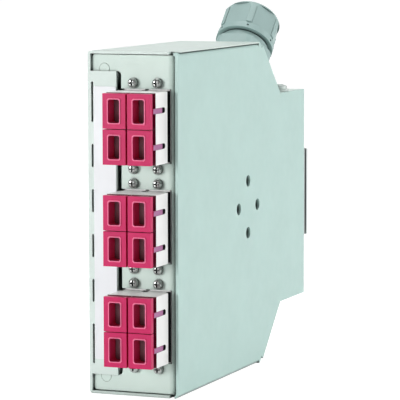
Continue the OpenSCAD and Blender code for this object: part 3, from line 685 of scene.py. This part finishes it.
class FIBREBOX_OT_housing(DressingOperator):
    """Dresses the folded shell, the side cover and the front panel"""

    bl_idname = "fibrebox.housing"
    bl_label = "Housing"

    def execute(self, context):
        settings = context.scene.fibrebox_housing
        plan = (
            ("shell", "housing_shell", "shell_paint", settings.shell_paint),
            ("cover", "side_cover", "cover_paint", settings.cover_paint),
            ("panel", "front_panel", "panel_paint", settings.panel_paint),
        )
        for name, node, slot, paint in plan:
            piece = copy_of_node(node, name)
            if name == "shell":
                self.cut_shell_back(piece, settings)
            if name == "cover":
                self.wrap_cover(piece, settings)
            round_edges(piece, settings.cut_edge)
            fit_out(piece, powder_paint(slot, tuple(paint)), "housing", slot, node)
        studs = copy_of_node("panel_studs", "stud_heads")
        round_edges(studs, settings.cut_edge * 1.3, segments=1)
        fit_out(studs, finishes["panel_paint"], "housing", "panel_paint", "panel_studs")
        return {"FINISHED"}

    def measures(self, settings):
        """The housing's right side, front, top, fold start and fold end, in millimetres."""
        low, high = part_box("side_cover")
        right, front, top = high.x / MM, low.y / MM, high.z / MM
        return right, front, top, settings.fold_radius / MM, settings.fold_end / MM

    def cut_shell_back(self, shell, settings):
        """Cuts the shell back to where the cover's folds begin, under a thin lip at the top."""
        right, front, top, fold, end = self.measures(settings)
        depth, cut_end = SHEET + SPARE, end - HAIR / MM
        for name, low, high in (("top_cut", top - depth, top - LIP),
                                ("base_cut", -OVERCUT, depth)):
            cut_away(shell, box_between(
                name, (right - fold - SEAM, front - OVERCUT, low),
                (right + OVERCUT, cut_end, high)))

    def wrap_cover(self, cover, settings):
        """Brings the cover's folds up under the shell's thin lip and flush with its base."""
        right, front, top, fold, end = self.measures(settings)
        outside, past = SHEET - SPARE, end + SHEET + SPARE
        reach, cut_end = fold + SHEET + 2 * SPARE, end + SHEET + 2 * SPARE
        move_points(cover, lambda co: co.y < past and top - reach < co.z < top - outside,
                    (0, 0, FOLD_RISE * MM))
        move_points(cover, lambda co: co.y < past and outside < co.z < reach,
                    (0, 0, -SHEET * MM))
        for name, low, high in (("upper_flange", top - fold - SPARE, top + OVERCUT),
                                ("lower_flange", -OVERCUT, fold + SPARE)):
            cut_away(cover, box_between(
                name, (0, front - OVERCUT, low), (right - fold, cut_end, high)))


class FIBREBOX_OT_label(DressingOperator):
    """Lays the blank label film on the front lip"""

    bl_idname = "fibrebox.label"
    bl_label = "Label"

    def execute(self, context):
        settings = context.scene.fibrebox_housing
        low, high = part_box("label_strip")
        size, middle = high - low, (low + high) / 2
        bpy.ops.object.select_all(action="DESELECT")
        bpy.ops.mesh.primitive_plane_add(
            size=1, location=(middle.x, high.y, middle.z), rotation=(math.pi / 2, 0, 0))
        bpy.ops.transform.resize(value=(size.x, 1, size.z))
        label = settle("label")
        edit_all(label)
        bpy.ops.mesh.bevel(offset=settings.label_corner, segments=6, affect="VERTICES")
        bpy.ops.mesh.extrude_region_move(
            TRANSFORM_OT_translate={"value": (0, low.y - high.y, 0)})
        bpy.ops.mesh.select_all(action="SELECT")
        bpy.ops.mesh.normals_make_consistent(inside=False)
        close_edit()
        round_edges(label, FINE_EDGE, segments=1)
        film = new_finish("label_film", tuple(settings.label_film), 0.35)
        add_mottle(film, tuple(settings.label_film), shade_of(settings.label_film, 0.97), scale=90)
        add_grain(film, scale=1800, height=0.01 * MM, strength=0.15)
        fit_out(label, film, "housing", "label_film", "label_strip")
        return {"FINISHED"}


class FIBREBOX_OT_adapters(DressingOperator):
    """Dresses the white duplex adapter bodies"""

    bl_idname = "fibrebox.adapters"
    bl_label = "Adapter bodies"

    half_width: length_property("Half width", "Half the width of a body", 4.7)
    groove_width: length_property("Groove width", "Width of the clip groove", 2.7)
    groove_depth: length_property("Groove depth", "Depth of the clip groove", 1)
    slot_depth: length_property("Slot depth", "Depth of an arm slot", 0.85)
    slot_length: length_property("Slot length", "Length of an arm slot", 8.7)

    def execute(self, context):
        settings = context.scene.fibrebox_adapters
        finish = moulded_plastic("adapter_white", tuple(settings.body_plastic),
                                 low=0.3, high=0.42)
        # Painted shade in the clip grooves and arm slots, and on the fronts behind the frames
        paint_light_on_marks(finish, "recess", settings.recess_shade)
        paint_light_on_marks(finish, "shaded_front", settings.front_shade)
        first = copy_of_node("adapter_body_1", "adapter_1")
        round_edges(first, settings.body_edge)
        self.mark_recesses(first)
        for _, node, piece in copies(first, "adapter", "adapter_body", ADAPTERS):
            fit_out(piece, finish, "housing", "adapter_white", node)
        return {"FINISHED"}

    def mark_recesses(self, body):
        """Marks the clip groove, the floors of the arm slots and the front behind the frames for
        their painted shade.
        """
        middle = centre_of("adapter_body_1").x
        front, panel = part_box("adapter_body_1")[0].y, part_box("front_panel")[0].y
        groove_front, groove_floor = panel - self.groove_width, self.half_width - self.groove_depth
        slot_end, slot_floor = front + self.slot_length, self.half_width - self.slot_depth

        def in_recess(centre):
            side = abs(centre.x - middle)
            groove = (groove_front - HAIR < centre.y < panel + HAIR
                      and side > groove_floor - HAIR)
            slot = (slot_floor - 2 * HAIR < side < self.half_width - HAIR
                    and centre.y < slot_end)
            return groove or slot

        mark_faces(body, "recess", in_recess)
        mark_faces(body, "shaded_front", lambda centre: centre.y < front + FRONT_SKIN)


class FIBREBOX_OT_coding_frames(DressingOperator):
    """Dresses the coloured coding frames with their raised rims and arms"""

    bl_idname = "fibrebox.coding_frames"
    bl_label = "Coding frames"

    # The rim's tint is a painted highlight and the arms' tint a painted reflection
    arm_side: length_property("Arm side", "Distance of the arms' outer faces from the middle", 4.6)
    arm_start: length_property("Arm start", "Where the arms' tint begins before the body", 1)
    rim_depth: length_property("Rim depth", "Depth of the rim's tint", 0.2)

    def execute(self, context):
        settings = context.scene.fibrebox_adapters
        finish = moulded_plastic("frame_crimson", tuple(settings.frame_plastic),
                                 low=0.3, high=0.42, specular=0.2)
        # Painted light: a highlight on the rims, a reflection on the arms and deep crimson shade in
        # the hollows
        paint_light_on_marks(finish, "rim", settings.rim_highlight_colour)
        paint_light_on_marks(finish, "arm", settings.arm_reflection_colour)
        shade_hollows(finish, 4 * MM, tint(190, 0, 42), low=0.15, high=0.7)
        first = copy_of_node("coding_frame_1", "frame_1")
        round_edges(first, settings.frame_edge, segments=3)
        # The rim's front faces carry the painted highlight
        rim_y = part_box("coding_frame_1")[0].y + self.rim_depth
        mark_faces(first, "rim", lambda centre: centre.y < rim_y)
        # The arms carry the painted reflection
        middle, body_y = centre_of("coding_frame_1").x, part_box("adapter_body_1")[0].y
        mark_faces(first, "arm", lambda centre: (
            abs(centre.x - middle) > self.arm_side and centre.y > body_y - self.arm_start))
        for _, node, piece in copies(first, "frame", "coding_frame", PORTS):
            fit_out(piece, finish, "housing", "frame_crimson", node)
        return {"FINISHED"}


class FIBREBOX_OT_shutters(DressingOperator):
    """Dresses the sprung metal shutters behind the ports"""

    bl_idname = "fibrebox.shutters"
    bl_label = "Port shutters"

    edge: length_property("Edge", "Edge radius of a shutter", 0.06)

    def execute(self, context):
        settings = context.scene.fibrebox_adapters
        finish = brushed_metal("shutter_metal", tuple(settings.shutter_metal),
                               low=0.35, high=0.5, metallic=0.4)
        # Painted shade, deep crimson, in the shutters' hollows
        shade_hollows(finish, 5 * MM, tint(120, 20, 64), low=0.05, high=0.5)
        first = copy_of_node("port_shutter_1", "shutter_flap_1")
        round_edges(first, self.edge)
        for number, node, piece in copies(first, "shutter_flap", "port_shutter", PORTS):
            fit_out(piece, finish, f"shutter_{number}", "shutter_metal", node)
        return {"FINISHED"}


class FIBREBOX_OT_adapter_screws(DressingOperator):
    """Adds the pan head screws of the adapters"""

    bl_idname = "fibrebox.adapter_screws"
    bl_label = "Adapter screws"

    head_radius: length_property("Head radius", "Radius of a screw head", 1.85)
    head_height: length_property("Head height", "Height of a screw head", 2.1)
    shank_radius: length_property("Shank radius", "Radius of a screw", 0.98)
    pitch: length_property("Pitch", "Distance between the two screws of an adapter", 31)

    def execute(self, context):
        low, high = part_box("adapter_screws")
        seat_y = low.y + self.head_height
        screw = self.make_screw(high.y - seat_y)
        screws = [copy_piece(screw, f"adapter_screw_{n}", place)
                  for n, place in enumerate(self.seats(seat_y), 1)]
        bpy.data.objects.remove(screw)
        joined = join_into(screws[0], *screws[1:])
        joined.name = "adapter_screw_set"
        metal = tuple(context.scene.fibrebox_fittings.screw_metal)
        finish = brushed_metal("nickel_screws", metal, high=0.36, stretch=(1, 1, 1))
        # Painted shade, near black, in the screws' hollows and cross recesses
        shade_hollows(finish, 1.2 * MM, tint(10, 10, 10), low=0.3)
        fit_out(joined, finish, "housing", "nickel_screws", "adapter_screws")
        coat_node("adapter_nuts", finish)
        return {"FINISHED"}

    def make_screw(self, length):
        """A pan head joined to its shank."""
        head = pan_head("screw_head", self.head_radius, self.head_height)
        bpy.ops.object.select_all(action="DESELECT")
        bpy.ops.mesh.primitive_cylinder_add(
            vertices=24, radius=self.shank_radius, depth=length,
            location=(0, length / 2, 0), rotation=(math.pi / 2, 0, 0))
        return join_into(head, settle("screw_shank"))

    def seats(self, seat_y):
        """The seats of the heads, two for each adapter."""
        middles = [centre_of(f"adapter_body_{i}") for i in ADAPTERS]
        return [Vector((middle.x, seat_y, middle.z + side * self.pitch / 2))
                for middle in middles for side in (1, -1)]


class FIBREBOX_OT_gland(DressingOperator):
    """Dresses the cable gland on the sloped wall"""

    bl_idname = "fibrebox.gland"
    bl_label = "Cable gland"

    axis_point: bpy.props.FloatVectorProperty(
        name="Axis point", description="Where the gland's axis meets the slope", size=3,
        default=(0.003, 0.0535, 0.1145), subtype="XYZ_LENGTH")
    rib_turn: bpy.props.FloatProperty(
        name="Rib turn", description="Turn of the first rib on the cap nut",
        default=math.radians(51), subtype="ANGLE")
    lean: bpy.props.FloatProperty(
        name="Lean", description="Lean of the gland's axis to the back",
        default=math.radians(45), subtype="ANGLE")
    rib_foot: length_property("Rib foot", "Distance of a rib's foot from the axis", 9.5)
    rib_half: length_property("Rib half width", "Half the width of a rib", 1.15)
    rib_top: length_property("Rib top", "Distance of a rib's top from the axis", 11.95)
    rib_low: length_property("Rib start", "Start of a rib along the axis", 14.4)
    rib_high: length_property("Rib end", "End of a rib along the axis", 23.2)

    def execute(self, context):
        settings = context.scene.fibrebox_fittings
        plastic = moulded_plastic("gland_plastic", tuple(settings.gland_plastic),
                                  low=0.4, high=0.52, grain=0.3)
        # Painted shade, deep green, in the gland's hollows
        shade_hollows(plastic, 3 * MM, tint(20, 34, 34))
        black = rubber("seal_rubber", tuple(settings.seal_rubber))
        plan = (
            ("gland_hex", "gland_body", "housing", plastic, "gland_plastic", 0.8),
            ("gland_nut_cap", "gland_cap", "gland_nut", plastic, "gland_plastic", 0.5),
            ("gland_ring_nut", "gland_locknut", "housing", plastic, "gland_plastic", 0.8),
            ("gland_flat_seal", "gland_washer", "housing", black, "black_rubber", 0.5),
            ("gland_cable_seal", "gland_seal", "housing", black, "seal_rubber", 1.0),
        )
        for name, node, body, finish, slot, share in plan:
            piece = copy_of_node(node, name)
            if name == "gland_nut_cap":
                join_into(piece, *self.ribs(settings.gland_edge))
            round_edges(piece, settings.gland_edge * share, segments=3, smooth=FACET_ANGLE)
            fit_out(piece, finish, body, slot, node)
        return {"FINISHED"}

    def ribs(self, edge):
        """Ribs that stand proud of the cap nut's flats."""
        seat = Matrix.Translation(self.axis_point) @ Matrix.Rotation(-self.lean, 4, "X")
        low = Vector((self.rib_foot, -self.rib_half, self.rib_low)) / MM
        high = Vector((self.rib_top, self.rib_half, self.rib_high)) / MM
        first = box_between("rib_1", low, high)
        edit_all(first)
        bpy.ops.mesh.bevel(offset=edge, segments=3, affect="EDGES")
        close_edit()
        others = [copy_piece(first, f"rib_{n}", (0, 0, 0)) for n in range(2, RIB_COUNT + 1)]
        ribs = [first, *others]
        for n, rib in enumerate(ribs):
            turn = Matrix.Rotation(self.rib_turn + n * 2 * math.pi / RIB_COUNT, 4, "Z")
            rib.data.transform(seat @ turn)
        return ribs


class FIBREBOX_OT_earth_screw(DressingOperator):
    """Dresses the earth screw on the upper step"""

    bl_idname = "fibrebox.earth_screw"
    bl_label = "Earth screw"

    edge: length_property("Edge", "Edge radius of the screw, its washer and its nut", 0.12)

    def execute(self, context):
        zinc = tuple(context.scene.fibrebox_fittings.zinc_plate)
        finish = brushed_metal("zinc_screws", zinc, low=0.45, high=0.6, stretch=(1, 1, 1),
                               metallic=0.3)
        for name, node in (("earth_head", "earth_screw"), ("earth_ring", "earth_washer"),
                           ("earth_hex", "earth_nut")):
            piece = copy_of_node(node, name)
            round_edges(piece, self.edge)
            fit_out(piece, finish, "housing", "zinc_screws", node)
        return {"FINISHED"}


class FIBREBOX_OT_rail_clip(DressingOperator):
    """Dresses the rail clip, its latch and its screws"""

    bl_idname = "fibrebox.rail_clip"
    bl_label = "Rail clip"

    edge: length_property("Edge", "Edge radius of the clip and the latch", 0.15)
    screw_edge: length_property("Screw edge", "Edge radius of the clip's screws", 0.06)

    def execute(self, context):
        steel = tuple(context.scene.fibrebox_fittings.clip_steel)
        finish = brushed_metal("clip_steel", steel, low=0.3, high=0.45)
        # Painted shade, dark grey, in the clip's hollows
        shade_hollows(finish, 3 * MM, tint(30, 34, 34))
        for name, node, body in (("clip", "rail_clip", "housing"),
                                 ("latch", "rail_latch", "rail_latch_slide")):
            piece = copy_of_node(node, name)
            round_edges(piece, self.edge)
            fit_out(piece, finish, body, "clip_steel", node)
        spring = brushed_metal("spring_steel", shade_of(steel, 0.7), low=0.2, high=0.35)
        coat_node("latch_spring", spring)
        zinc = finishes["zinc_screws"]
        piece = copy_of_node("clip_screws", "clip_screw_set")
        round_edges(piece, self.screw_edge, segments=1, angle=50)
        fit_out(piece, zinc, "housing", "zinc_screws", "clip_screws")
        for node in ("clip_nuts", "panel_nuts", "cover_screws", "tray_screws"):
            coat_node(node, zinc)
        return {"FINISHED"}


class FIBREBOX_OT_inside(DressingOperator):
    """Finishes the splice tray and the sleeves inside the housing"""

    bl_idname = "fibrebox.inside"
    bl_label = "Inside"

    def execute(self, context):
        gloss = {"low": 0.12, "high": 0.2, "grain": 0.05}
        dark = moulded_plastic("tray_plastic", tint(58, 64, 68), low=0.4, high=0.55)
        pale = moulded_plastic("holder_plastic", tint(232, 232, 228), low=0.35, high=0.5)
        ceramic = moulded_plastic("ceramic", tint(236, 232, 222), **gloss)
        clear = moulded_plastic("clear_lid", tint(222, 232, 234), clear=0.8, **gloss)
        plan = {"splice_tray": dark, "splice_holder": pale, "alignment_sleeves": ceramic,
                "tray_lid": clear}
        for node, finish in plan.items():
            coat_node(node, finish)
        return {"FINISHED"}


STEPS = (
    FIBREBOX_OT_stage,
    FIBREBOX_OT_housing,
    FIBREBOX_OT_label,
    FIBREBOX_OT_adapters,
    FIBREBOX_OT_coding_frames,
    FIBREBOX_OT_shutters,
    FIBREBOX_OT_adapter_screws,
    FIBREBOX_OT_gland,
    FIBREBOX_OT_earth_screw,
    FIBREBOX_OT_rail_clip,
    FIBREBOX_OT_inside,
)


class FIBREBOX_PT_steps(bpy.types.Panel):
    """Lists the dressing steps and their settings"""

    bl_idname = "FIBREBOX_PT_steps"
    bl_label = "Fibre Box"
    bl_space_type = "VIEW_3D"
    bl_region_type = "UI"
    bl_category = "Fibre Box"

    def draw(self, context):
        for step in STEPS:
            self.layout.operator(step.bl_idname)
        for name in SETTINGS:
            box = self.layout.box()
            group = getattr(context.scene, name)
            for key in group.bl_rna.properties.keys():
                if key not in {"rna_type", "name"}:
                    box.prop(group, key)


def register():
    """Adds the settings, the steps and the panel."""
    for group in SETTINGS.values():
        bpy.utils.register_class(group)
    for step in STEPS:
        bpy.utils.register_class(step)
    bpy.utils.register_class(FIBREBOX_PT_steps)
    for name, group in SETTINGS.items():
        setattr(bpy.types.Scene, name, bpy.props.PointerProperty(type=group))


def unregister():
    """Takes the panel, the steps and the settings away again."""
    for name in SETTINGS:
        delattr(bpy.types.Scene, name)
    bpy.utils.unregister_class(FIBREBOX_PT_steps)
    for step in reversed(STEPS):
        bpy.utils.unregister_class(step)
    for group in reversed(list(SETTINGS.values())):
        bpy.utils.unregister_class(group)


def main():
    """Runs every step in order."""
    register()
    for step in STEPS:
        group, name = step.bl_idname.split(".")
        getattr(getattr(bpy.ops, group), name)()


if __name__ == "__main__":
    main()
